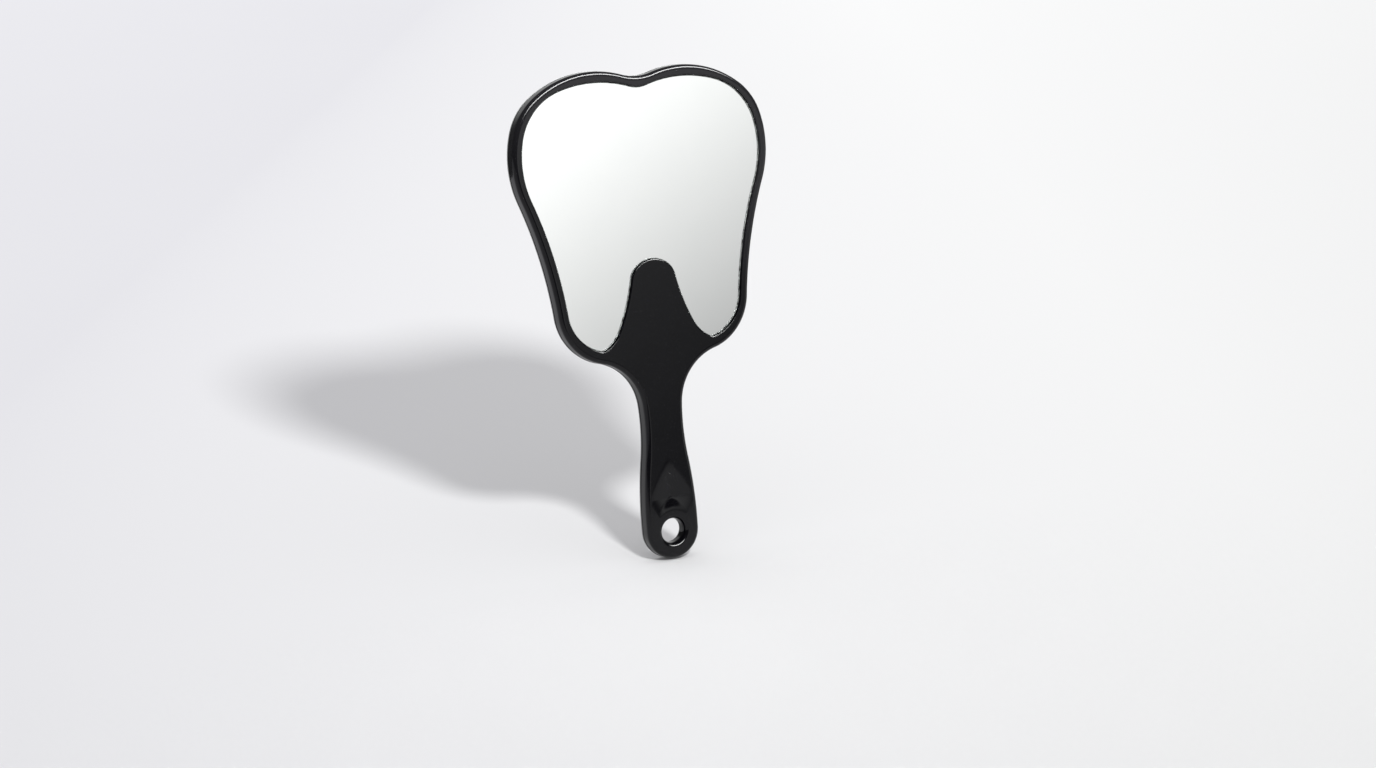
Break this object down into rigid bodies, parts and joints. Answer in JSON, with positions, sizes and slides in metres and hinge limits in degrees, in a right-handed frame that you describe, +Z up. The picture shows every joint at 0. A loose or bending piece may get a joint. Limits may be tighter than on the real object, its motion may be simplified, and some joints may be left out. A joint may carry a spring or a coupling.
{
  "type": "hand mirror",
  "caption": "Tooth-shaped hand mirror with a flat glass mirror let into a two-shell plastic frame, a flat handle with a thumb scoop, and a round hanging hole.",
  "frame": {"origin": "centre of the bounding box across and in depth, at the lower end of the handle", "axes": "+Z runs up the handle to the two lobes, -Y is the way the mirror glass faces, X runs across and the mirror is symmetric left to right"},
  "size_m": [0.1472, 0.009, 0.2595],
  "materials": {
    "shell_plastic": "gloss",
    "cover_plastic": "gloss",
    "mirror_glass": "polished",
    "silver_backing": "matte",
    "foam_tape": "matte"
  },
  "bodies": {
    "root": {"front_shell": "shell_plastic", "back_cover": "cover_plastic", "mirror_glass": "mirror_glass", "silver_backing": "silver_backing", "mounting_tape": "foam_tape"}
  },
  "joints": []
}
